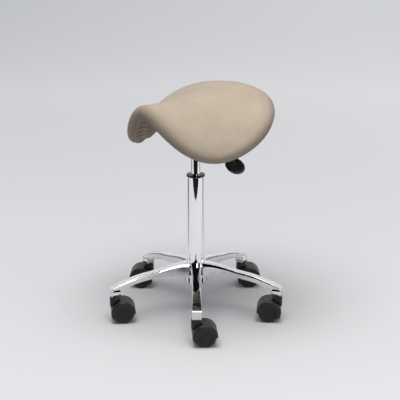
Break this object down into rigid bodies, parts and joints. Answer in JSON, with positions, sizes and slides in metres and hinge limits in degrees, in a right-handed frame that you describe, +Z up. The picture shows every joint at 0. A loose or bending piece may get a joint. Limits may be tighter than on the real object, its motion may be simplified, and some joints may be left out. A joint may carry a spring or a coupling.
{
  "type": "saddle stool",
  "caption": "Height-adjustable swivel saddle stool: upholstered saddle on a gas spring, release lever, star base, twin-wheel castors.",
  "frame": {"origin": "point on the floor under the column's axis", "axes": "+Z up the column; the rider faces -Y; +X is the rider's left, where the lever is"},
  "size_m": [0.5299, 0.5366, 0.6345],
  "materials": {
    "polished_aluminium": "polished cast aluminium",
    "chrome": "bright chrome plate",
    "steel": "bright zinc plate",
    "black_steel": "black powder coat",
    "black_plastic": "semi-gloss moulded",
    "castor_hood": "semi-gloss moulded nylon",
    "castor_wheel": "satin moulded nylon",
    "rubber": "matte",
    "plywood": "bare birch plywood",
    "shell_plastic": "moulded shell",
    "foam": "moulded foam",
    "cover": "soft suede-like microfibre"
  },
  "bodies": {
    "base": {"star_base": "polished_aluminium", "outer_column": "chrome", "column_end_plate": "steel", "guide_bush": "black_plastic", "bearing_lower_race": "steel", "bearing_balls": "steel", "bearing_cage": "black_plastic", "castor_stems": "steel", "castor_grip_rings": "steel"},
    "rod": {"piston_rod": "steel", "piston": "steel", "piston_nut": "steel", "piston_seal": "rubber", "bearing_upper_race": "steel", "bump_stop": "rubber", "clip_washer": "steel", "retaining_clip": "steel"},
    "seat": {"gas_cylinder": "chrome", "pressure_tube": "steel", "rod_guide": "steel", "rod_seal": "rubber", "valve_body": "steel", "taper_socket": "black_steel", "mechanism_housing": "black_steel", "lever_pivot_pin": "steel", "seat_plate": "black_steel", "plate_bolts": "steel", "bolt_washers": "steel", "tee_nuts": "steel", "mounting_block": "plywood", "seat_shell": "shell_plastic", "seat_foam": "foam", "seat_cover": "cover"},
    "lever": {"lever_yoke": "black_steel", "lever_rod": "black_steel", "lever_paddle": "black_plastic"},
    "release_pin": {"release_pin": "steel"},
    "castor_1": {"castor_hood_1": "castor_hood", "castor_axle_1": "steel"},
    "left_wheel_1": {"wheel_left_1": "castor_wheel"},
    "right_wheel_1": {"wheel_right_1": "castor_wheel"},
    "castor_2": {"castor_hood_2": "castor_hood", "castor_axle_2": "steel"},
    "left_wheel_2": {"wheel_left_2": "castor_wheel"},
    "right_wheel_2": {"wheel_right_2": "castor_wheel"},
    "castor_3": {"castor_hood_3": "castor_hood", "castor_axle_3": "steel"},
    "left_wheel_3": {"wheel_left_3": "castor_wheel"},
    "right_wheel_3": {"wheel_right_3": "castor_wheel"},
    "castor_4": {"castor_hood_4": "castor_hood", "castor_axle_4": "steel"},
    "left_wheel_4": {"wheel_left_4": "castor_wheel"},
    "right_wheel_4": {"wheel_right_4": "castor_wheel"},
    "castor_5": {"castor_hood_5": "castor_hood", "castor_axle_5": "steel"},
    "left_wheel_5": {"wheel_left_5": "castor_wheel"},
    "right_wheel_5": {"wheel_right_5": "castor_wheel"}
  },
  "joints": [
    {"name": "seat_swivel", "type": "hinge", "parent": "base", "child": "rod", "pos_m": [0, 0, 0.1], "axis": [0, 0, 1], "continuous": true},
    {"name": "height_slide", "type": "slide", "parent": "rod", "child": "seat", "axis": [0, 0, 1], "range_m": [-0.07, 0.13]},
    {"name": "lever_pivot", "type": "hinge", "parent": "seat", "child": "lever", "pos_m": [0.026, 0, 0.5421], "axis": [0, -1, 0], "range_deg": [0, 6.5], "stiffness_Nm_per_rad": 4, "springref_deg": -5.73},
    {"name": "pin_press", "type": "slide", "parent": "seat", "child": "release_pin", "axis": [0, 0, -1], "range_m": [0, 0.003]},
    {"name": "castor_swivel_1", "type": "hinge", "parent": "base", "child": "castor_1", "pos_m": [0.17501, -0.15758, 0.055], "axis": [0, 0, 1], "continuous": true},
    {"name": "left_wheel_spin_1", "type": "hinge", "parent": "castor_1", "child": "left_wheel_1", "pos_m": [0.18823, -0.14126, 0.03], "axis": [-0.7771, 0.6293, 0], "continuous": true},
    {"name": "right_wheel_spin_1", "type": "hinge", "parent": "castor_1", "child": "right_wheel_1", "pos_m": [0.18823, -0.14126, 0.03], "axis": [-0.7771, 0.6293, 0], "continuous": true},
    {"name": "castor_swivel_2", "type": "hinge", "parent": "base", "child": "castor_2", "pos_m": [0.20395, 0.11775, 0.055], "axis": [0, 0, 1], "continuous": true},
    {"name": "left_wheel_spin_2", "type": "hinge", "parent": "castor_2", "child": "left_wheel_2", "pos_m": [0.18859, 0.10343, 0.03], "axis": [0.682, -0.7314, 0], "continuous": true},
    {"name": "right_wheel_spin_2", "type": "hinge", "parent": "castor_2", "child": "right_wheel_2", "pos_m": [0.18859, 0.10343, 0.03], "axis": [0.682, -0.7314, 0], "continuous": true},
    {"name": "castor_swivel_3", "type": "hinge", "parent": "base", "child": "castor_3", "pos_m": [-0.04896, 0.23035, 0.055], "axis": [0, 0, 1], "continuous": true},
    {"name": "left_wheel_spin_3", "type": "hinge", "parent": "castor_3", "child": "left_wheel_3", "pos_m": [-0.03547, 0.24644, 0.03], "axis": [-0.766, 0.6428, 0], "continuous": true},
    {"name": "right_wheel_spin_3", "type": "hinge", "parent": "castor_3", "child": "right_wheel_3", "pos_m": [-0.03547, 0.24644, 0.03], "axis": [-0.766, 0.6428, 0], "continuous": true},
    {"name": "castor_swivel_4", "type": "hinge", "parent": "base", "child": "castor_4", "pos_m": [-0.23421, 0.02462, 0.055], "axis": [0, 0, 1], "continuous": true},
    {"name": "left_wheel_spin_4", "type": "hinge", "parent": "castor_4", "child": "left_wheel_4", "pos_m": [-0.24932, 0.01003, 0.03], "axis": [0.6947, -0.7193, 0], "continuous": true},
    {"name": "right_wheel_spin_4", "type": "hinge", "parent": "castor_4", "child": "right_wheel_4", "pos_m": [-0.24932, 0.01003, 0.03], "axis": [0.6947, -0.7193, 0], "continuous": true},
    {"name": "castor_swivel_5", "type": "hinge", "parent": "base", "child": "castor_5", "pos_m": [-0.09579, -0.21514, 0.055], "axis": [0, 0, 1], "continuous": true},
    {"name": "left_wheel_spin_5", "type": "hinge", "parent": "castor_5", "child": "left_wheel_5", "pos_m": [-0.08315, -0.19837, 0.03], "axis": [-0.7986, 0.6018, 0], "continuous": true},
    {"name": "right_wheel_spin_5", "type": "hinge", "parent": "castor_5", "child": "right_wheel_5", "pos_m": [-0.08315, -0.19837, 0.03], "axis": [-0.7986, 0.6018, 0], "continuous": true}
  ],
  "couplings": [
    {"joint": "pin_press", "follows": "lever_pivot", "m_per_rad": 0.026}
  ]
}
